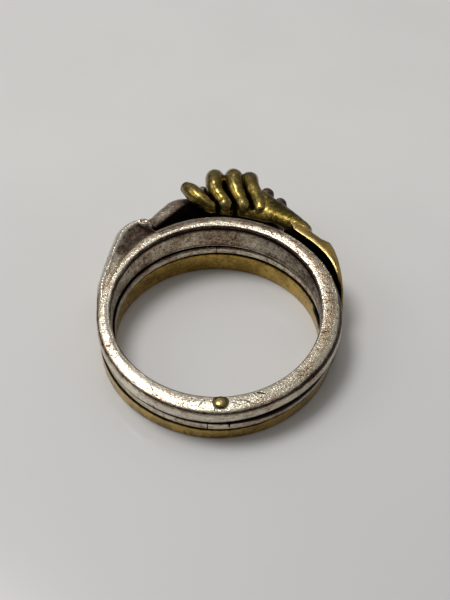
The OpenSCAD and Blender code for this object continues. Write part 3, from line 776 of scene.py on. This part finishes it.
# The frill of a shirt cuff round the wrist: two rolls with a groove between them
SILVER_FRILL = [
    (-6.62, -0.62, 2.43, 0.95, 1.70), (-6.52, -0.48, 2.44, 1.22, 1.94), (-6.42, -0.34, 2.44, 1.26, 1.98),
    (-6.34, -0.22, 2.44, 1.04, 1.74), (-6.22, -0.06, 2.44, 1.04, 1.74), (-6.12, 0.06, 2.44, 1.20, 1.92),
    (-6.02, 0.18, 2.43, 1.18, 1.90), (-5.94, 0.28, 2.42, 0.92, 1.62), (-5.92, 0.30, 2.42, 0.55, 1.20)]


def silver_hand():
    bm = bmesh.new()
    for stations in SILVER_LIMBS.values():
        limb(bm, stations)
    limb(bm, SILVER_KNUCKLES, up=(0, 0, 1))
    limb(bm, SILVER_PALM, up=(0, 0, 1))
    limb(bm, SILVER_FRILL, up=(0, 0, 1), sides=48, smooth=False)
    cast, bm = cast_in_one("silver_hand", bm, voxel=0.065, rounds=4)

    def grime_and_shade(p):
        beyond = p[:, 1] - HOOP_R
        # Under the brass hand, and on the wrist's side that faces the hoop, the hand is marked dark: painted
        # shade.
        shade_under_brass = ease(p[:, 0], -3.4, -1.8) * (1 - ease(beyond, 2.6, 3.2) * ease(p[:, 0], 4.7, 5.1))
        shade_under_brass = shade_under_brass * (1 - ease(beyond, 4.2, 5.2)) * ease(p[:, 2] + beyond * 0.5, 2.6, 3.6)
        shade_beside_hoop = ease(0.75 + (p[:, 0] + 4.5) * 1.05 - beyond, -0.3, 0.4) * ease(p[:, 0], -5.9, -5.0)
        # Tarnish all over, darker still towards the fingertips, with the painted shade on top.
        return 0.40 + 0.28 * ease(p[:, 0], 3.6, 4.6) + np.maximum(shade_under_brass * 0.5, shade_beside_hoop * (p[:, 0] < 0))

    return finished_hand("silver_hand", bm, cast, grime_and_shade, SILVER_TURN)


# Finishes

class Value:
    """A number or colour that changes over a surface."""

    def __init__(self, finish, socket):
        self.finish, self.socket = finish, socket

    def math(self, operation, *others):
        return self.finish.node("ShaderNodeMath", {"operation": operation}, dict(enumerate((self,) + others)))

    def __add__(self, other):
        return self.math("ADD", other)

    def __mul__(self, other):
        return self.math("MULTIPLY", other)

    def __sub__(self, other):
        return self.math("SUBTRACT", other)

    def __rsub__(self, other):
        return self.finish.node("ShaderNodeMath", {"operation": "SUBTRACT"}, {0: other, 1: self})

    __radd__ = __add__
    __rmul__ = __mul__

    def most(self, other):
        return self.math("MAXIMUM", other)

    def least(self, other):
        return self.math("MINIMUM", other)

    def rise(self, low, high):
        """0 below low, 1 above high and a smooth rise between."""
        return self.finish.node("ShaderNodeMapRange", {"interpolation_type": "SMOOTHSTEP", "clamp": True},
                                {"Value": self, "From Min": low, "From Max": high})


class Finish:
    """A material, wired from nodes."""

    def __init__(self, name):
        self.material = bpy.data.materials.new(name)
        self.material.use_nodes = True
        self.tree = self.material.node_tree
        self.tree.nodes.clear()

    def node(self, kind, settings=None, sockets=None, output=0):
        """A node of any type: its settings are made first, and then its sockets get values or links."""
        made = self.tree.nodes.new(kind)
        for key, value in (settings or {}).items():
            setattr(made, key, value)
        for key, value in (sockets or {}).items():
            if isinstance(value, Value):
                self.tree.links.new(value.socket, made.inputs[key])
            else:
                made.inputs[key].default_value = value
        return Value(self, made.outputs[output])

    def mark(self, name):
        return self.node("ShaderNodeAttribute", {"attribute_name": name}, output="Fac")

    def spots(self, where, scale, detail=3.0, rough=0.55, seed=0.0):
        """Cloudy noise, from about 0.3 to 0.7."""
        moved = self.vector("ADD", where, (seed, seed * 0.7, -seed))
        return self.node("ShaderNodeTexNoise", {}, {"Vector": moved, "Scale": scale, "Detail": detail,
                                                   "Roughness": rough})

    def vector(self, operation, a, b, socket=1, output=0):
        return self.node("ShaderNodeVectorMath", {"operation": operation}, {0: a, socket: b}, output)

    def stroke(self, where, middle, along, length, width, sharp=0.35):
        """One scratch of a length and a width in mm: 1 in it and 0 away from it. along is its direction."""
        reach = length / 2 * MM
        off = self.vector("SUBTRACT", where, tuple(middle))
        share = self.vector("DOT_PRODUCT", off, tuple(along), output="Value").most(-reach).least(reach)
        off = self.vector("SUBTRACT", off, self.vector("SCALE", tuple(along), share, "Scale"))
        away = self.node("ShaderNodeVectorMath", {"operation": "LENGTH"}, {0: off}, output="Value")
        return 1 - away.rise(sharp * width * MM, width * MM)

    def turned(self, where, angle, stretch):
        return self.node("ShaderNodeMapping", {"vector_type": "POINT"},
                         {"Vector": where, "Rotation": (0, 0, radians(angle)), "Scale": stretch})

    def mix(self, a, b, share):
        return self.node("ShaderNodeMix", {"data_type": "RGBA"}, {0: share, 6: a, 7: b}, output=2)

    def surface(self, sockets):
        shader = self.node("ShaderNodeBsdfPrincipled", {}, sockets, output="BSDF")
        end = self.tree.nodes.new("ShaderNodeOutputMaterial")
        self.tree.links.new(shader.socket, end.inputs["Surface"])
        return self.material


def srgb(red, green, blue):
    """A colour as it looks on a screen, from 0 to 255, as a shader needs it."""
    shares = [level / 255 for level in (red, green, blue)]
    return tuple(((c + 0.055) / 1.055) ** 2.4 if c > 0.04 else c / 12.92 for c in shares) + (1.0,)


def hairlines(finish, where, angle, length, width, cover, seed):
    """Thin straight scratches in one direction. Lengths are in the units of where."""
    turned = finish.turned(where, angle, (1 / length, 1 / width, 1 / width))
    lines = finish.spots(turned, 1.0, 1.0, 0.4, seed)
    return lines.rise(0.72 - cover, 0.80 - cover)


# Deep marks on the top hoop's upper face. Columns: angle, distance to the hole's axis, length, how far each
# leans from pointing at the axis, in degrees, and width.
SLASHES = ((261.0, 9.45, 0.75, -32, 0.06), (267.2, 9.95, 0.45, -16, 0.08), (276.5, 9.50, 0.90, 66, 0.05),
           (280.5, 9.40, 1.30, 72, 0.05), (284.0, 9.75, 0.70, 60, 0.045), (290.0, 9.15, 0.45, 55, 0.10),
           (202.0, 9.35, 0.60, 12, 0.045), (203.6, 9.55, 0.35, 40, 0.04), (229.0, 9.92, 0.90, 80, 0.09),
           (236.0, 9.50, 0.50, 50, 0.05), (247.0, 9.35, 0.60, 62, 0.045), (253.0, 9.70, 0.35, -30, 0.05),
           (312.0, 9.50, 0.50, 45, 0.05), (342.0, 9.30, 0.45, 35, 0.06), (96.0, 9.80, 0.35, 20, 0.09),
           (118.0, 9.62, 0.30, 30, 0.08), (36.0, 9.75, 0.40, -40, 0.06))


def slashes(f, place):
    """The deep marks together, with the dark ring round the rivet's head."""
    all_marks = None
    for angle, r, length, lean, width in SLASHES:
        t, along = radians(angle), radians(angle + lean)
        middle = Vector((r * cos(t), r * sin(t), top_at(r * sin(t)) - 0.03))
        step = Vector((cos(along), sin(along), sin(along) * tan(SILVER_SLOPE)))
        ends = laid([middle, middle + step], SILVER_TURN)
        one = f.stroke(place, ends[0], Vector(ends[1] - ends[0]).normalized(), length, width * 0.85)
        all_marks = one if all_marks is None else all_marks.most(one)
    y = RIVET_IN - RIVET_R
    axis = laid([(0, y, top_at(y)), (0, y, top_at(y) + 1)])
    ring = f.stroke(place, axis[0], Vector(axis[1] - axis[0]).normalized(), length=0.3, width=0.68, sharp=0.9)
    return all_marks.most(ring)


def old_silver(name, banded):
    """Worn silver: satin grey, tarnished warm, bright where it rubs and purple-brown in its hollows; its
    marks also bring painted sheen, and painted shade that goes nearly black.
    """
    f = Finish(name)
    place = f.node("ShaderNodeTexCoord", output="Object")
    hollow = f.mark("hollow")
    worn = f.mark("worn")
    clouds = f.spots(place, 420, 4.0, 0.6)
    mottle = f.spots(place, 2300, 4.0, 0.65, 3.0)
    specks = f.spots(place, 6500, 2.0, 0.6, 11.0)
    grain = f.spots(place, 16000, 3.0, 0.6, 7.0)
    if banded:
        around = f.node("ShaderNodeUVMap", {"uv_map": "around"})
        unit = 1.0
        deep = slashes(f, place)
    else:
        around, unit = place, MM
        deep = hollow * 0.0
    long_lines = hairlines(f, around, 0, 2.2 * unit, 0.04 * unit, 0.12, 1.0)
    cross_lines = hairlines(f, around, 62, 0.9 * unit, 0.04 * unit, 0.07, 4.0)
    back_lines = hairlines(f, around, -48, 0.9 * unit, 0.04 * unit, 0.05, 9.0)
    scratch = long_lines.most(cross_lines).most(back_lines)
    pits = f.node("ShaderNodeTexVoronoi", {"feature": "F1"}, {"Vector": place, "Scale": 3400.0})
    pit = (1 - pits.rise(0.10, 0.30)) * f.spots(place, 500, 3.0, 0.6, 5.0).rise(0.46, 0.56)

    tarnish_and_shade = hollow * 1.15 + (clouds - 0.5) * 0.3 + (mottle - 0.5) * 0.35 + (specks - 0.5) * 0.45
    tarnish_and_shade = tarnish_and_shade.rise(0.30, 0.95)
    blush = (clouds * 0.8 + mottle * 0.35 - worn * 0.2).rise(0.46, 0.66)
    metal = f.mix(srgb(226, 216, 192), srgb(198, 174, 148), blush)
    stain = ((specks - 0.5) * 1.2 + (mottle - 0.5) * 1.0 + (clouds - 0.5) * 0.4).rise(0.02, 0.24)
    metal = f.mix(metal, srgb(120, 90, 66), stain * 0.75 * (1 - worn * 0.4))
    if not banded:
        metal = f.mix(metal, srgb(138, 112, 102), 0.55)
    # Lighter where the wear mark is high: rubbed metal, and painted sheen where the mark carries it.
    metal = f.mix(metal, srgb(246, 240, 226), worn * 0.7 * (1 - stain * 0.6))
    # Darker where the hollow mark is high: patina in hollows, and painted shade, nearly black, where the mark
    # carries it.
    metal = f.mix(metal, srgb(62, 46, 44), tarnish_and_shade)
    metal = f.mix(metal, srgb(14, 9, 9), hollow.rise(0.80, 0.98))
    dirt = (pit * 0.85).most(cross_lines * back_lines * 0.7).most(long_lines * 0.18)
    metal = f.mix(metal, srgb(70, 44, 28), dirt)
    metal = f.mix(metal, srgb(30, 19, 14), deep * 0.9)
    rough = 0.24 + (mottle - 0.5) * 0.25 + scratch * 0.10 - worn * 0.06 + tarnish_and_shade * 0.20 + deep * 0.3
    height = grain * 0.4 + specks * 2.2 + mottle * 1.1 - scratch * 0.8 - pit * 2.5 - deep * 6
    if not banded:
        fold_size = (2.6 * MM, 0.34 * MM, 0.5 * MM)
        folds = f.spots(f.turned(place, -42, [1 / size for size in fold_size]), 1.0, 2.0, 0.5, 13.0)
        height = height + folds * 9
    bump = f.node("ShaderNodeBump", {}, {"Strength": 0.8, "Distance": 0.000018, "Height": height})
    black = hollow.rise(0.85, 1.0)
    return f.surface({"Base Color": metal, "Metallic": 1.0,
                      "Roughness": (rough + black * 0.3).least(0.8).most(0.12), "Normal": bump})


def antique_brass(name, banded):
    """Old yellow brass: olive and patinated, bright on what rubs and on painted highlights along the ridges,
    and nearly black in its hollows and in painted shade.
    """
    f = Finish(name)
    place = f.node("ShaderNodeTexCoord", output="Object")
    hollow = f.mark("hollow")
    worn = f.mark("worn")
    clouds = f.spots(place, 600, 4.0, 0.6)
    mottle = f.spots(place, 3000, 4.0, 0.65, 3.0)
    grain = f.spots(place, 16000, 3.0, 0.6, 7.0)
    if banded:
        around = f.node("ShaderNodeUVMap", {"uv_map": "around"})
        unit = 1.0
    else:
        around, unit = place, MM
    long_lines = hairlines(f, around, 0, 2.5 * unit, 0.04 * unit, 0.12, 2.0)
    cross_lines = hairlines(f, around, 55, 0.7 * unit, 0.04 * unit, 0.08, 6.0)
    scratch = long_lines.most(cross_lines)
    patina_and_shade = (hollow * 1.1 + (clouds - 0.5) * 0.4 + (mottle - 0.5) * 0.4).rise(0.22, 0.85)
    if banded:
        light, olive = srgb(196, 160, 78), srgb(150, 120, 50)
    else:
        light, olive = srgb(150, 130, 68), srgb(108, 94, 42)
    metal = f.mix(light, olive, (clouds + (mottle - 0.5) * 0.6).rise(0.38, 0.62))
    freckles = (mottle + (grain - 0.5) * 0.6).rise(0.48, 0.70) * 0.55
    metal = f.mix(metal, srgb(96, 74, 26), freckles * (1 - worn))
    # Lighter where the wear mark is high: rubbed brass, and painted highlights on the hands' ridges.
    metal = f.mix(metal, srgb(232, 212, 156), worn * 0.7)
    # Darker where the hollow mark is high: patina in hollows, and painted shade, nearly black, in the gaps
    # and under the hands.
    metal = f.mix(metal, srgb(42, 34, 10), patina_and_shade)
    metal = f.mix(metal, srgb(8, 5, 3), hollow.rise(0.85, 1.0))
    rough = (0.22 if banded else 0.13) + (mottle - 0.5) * 0.2 + scratch * 0.08 + patina_and_shade * 0.3
    height = grain * 0.25 + mottle * (1.1 if banded else 0.7) - scratch * 0.6
    bump = f.node("ShaderNodeBump", {}, {"Strength": 0.6, "Distance": 0.000014, "Height": height})
    black = hollow.rise(0.85, 1.0)
    return f.surface({"Base Color": metal, "Metallic": 1.0,
                      "Roughness": (rough + black * 0.3).least(0.8).most(0.12), "Normal": bump})


def pale_top():
    """A glossy tabletop, painted a little darker towards the camera as painted shade where the light falls
    off.
    """
    f = Finish("pale_top")
    place = f.node("ShaderNodeTexCoord", output="Object")
    cloud = f.spots(place, 60, 2.0, 0.5)
    colour = f.mix(srgb(232, 231, 230), srgb(229, 228, 227), cloud.rise(0.3, 0.7))
    # Darker towards the camera's side: a painted fall-off of the light.
    beyond = f.node("ShaderNodeSeparateXYZ", {}, {0: place}, output="Y")
    colour = f.mix(srgb(213, 213, 214), colour, beyond.rise(-0.045, 0.03))
    return f.surface({"Base Color": colour, "Roughness": 0.2, "Specular IOR Level": 0.5})


# The pieces

silver_worn = old_silver("old_silver", True)
silver_cast = old_silver("old_silver_cast", False)
brass_worn = antique_brass("antique_brass", True)
brass_cast = antique_brass("antique_brass_cast", False)

for piece, body, node, slot, finish in (
        (silver_band(), "silver", "silver_hoop", "silver", silver_worn),
        (silver_hand(), "silver", "silver_hoop", "silver", silver_cast),
        (middle_band(), "middle", "middle_hoop", "silver", silver_worn),
        (brass_band(), "brass", "brass_hoop", "brass", brass_worn),
        (brass_hand(), "brass", "brass_hoop", "brass", brass_cast),
        (rivet_head(), "brass", "rivet", "rivet_brass", brass_cast)):
    piece.data.materials.append(finish)
    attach(piece, body)
    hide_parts(node)

# The floor

bm = bmesh.new()
bmesh.ops.create_grid(bm, x_segments=1, y_segments=1, size=1.5)
floor_mesh = bpy.data.meshes.new("floor")
bm.to_mesh(floor_mesh)
bm.free()
floor = new_object("floor", floor_mesh)
floor.data.materials.append(pale_top())

# The camera, as the photograph sees the ring

CAMERA_AT = Vector((-1.93, -56.03, 59.98)) * MM
AIM = Vector((-0.36, -3.12, 0)) * MM
PAN = radians(-0.49)
TILT = radians(2.48)
LENS = 55.20
camera_data = bpy.data.cameras.new("camera")
camera_data.lens = LENS
camera_data.sensor_width = 36
camera_data.clip_start = 0.005
camera = bpy.data.objects.new("camera", camera_data)
bpy.context.scene.collection.objects.link(camera)
look = (AIM - CAMERA_AT).to_track_quat("-Z", "Y")
turned = look @ Quaternion((0, 1, 0), PAN) @ Quaternion((1, 0, 0), TILT)
camera.matrix_world = Matrix.Translation(CAMERA_AT) @ turned.to_matrix().to_4x4()
bpy.context.scene.camera = camera


# Light: a soft light high on the left, a weaker one low beside it, and a pale room that glows overhead and is
# dark low down on the camera's side

def soft_light(name, azimuth, elevation, distance, size, watts, tint):
    """A round light. Its azimuth is from +Y towards +X."""
    data = bpy.data.lights.new(name, "AREA")
    data.shape = "DISK"
    data.size = size
    data.energy = watts
    data.color = tint
    lamp = bpy.data.objects.new(name, data)
    a, e = radians(azimuth), radians(elevation)
    away = Vector((sin(a) * cos(e), cos(a) * cos(e), sin(e)))
    facing = away.to_track_quat("Z", "Y").to_matrix().to_4x4()
    lamp.matrix_world = Matrix.Translation(away * distance) @ facing
    bpy.context.scene.collection.objects.link(lamp)


soft_light("overhead", azimuth=-60, elevation=67, distance=0.6, size=0.24, watts=1.50, tint=(1.0, 0.99, 0.97))
soft_light("window", azimuth=-80, elevation=35, distance=0.6, size=0.30, watts=0.34, tint=(0.98, 0.99, 1.0))

bpy.context.scene.view_settings.view_transform = "Standard"
world = bpy.data.worlds.new("room")
bpy.context.scene.world = world
world.use_nodes = True


class Room(Finish):
    """The world, wired as a finish is."""

    def __init__(self, world):
        self.tree = world.node_tree
        self.tree.nodes.clear()

    def light(self, colour, strength):
        glow = self.node("ShaderNodeBackground", {}, {"Color": colour, "Strength": strength})
        end = self.tree.nodes.new("ShaderNodeOutputWorld")
        self.tree.links.new(glow.socket, end.inputs["Surface"])


room = Room(world)
way = room.node("ShaderNodeTexCoord", output="Generated")
x, y, z = [room.node("ShaderNodeSeparateXYZ", {}, {0: way}, output=axis) for axis in "XYZ"]
GLOW_WAY = (-0.20, 0.30, 0.933)
glow = (x * GLOW_WAY[0] + y * GLOW_WAY[1] + z * GLOW_WAY[2]).rise(0.90, 0.985)
low = z.rise(0.05, 0.55)
dark = (-0.12 - y).rise(0.05, 0.35) * (1 - z.rise(0.72, 0.94)) * (1 - (x * x).rise(0.30, 0.75))
room.light(room.mix((0.80, 0.88, 1.0, 1), (1.0, 0.975, 0.94, 1), low),
           (0.13 + low * 0.20 + glow * 0.80) * (1 - dark * 0.72))
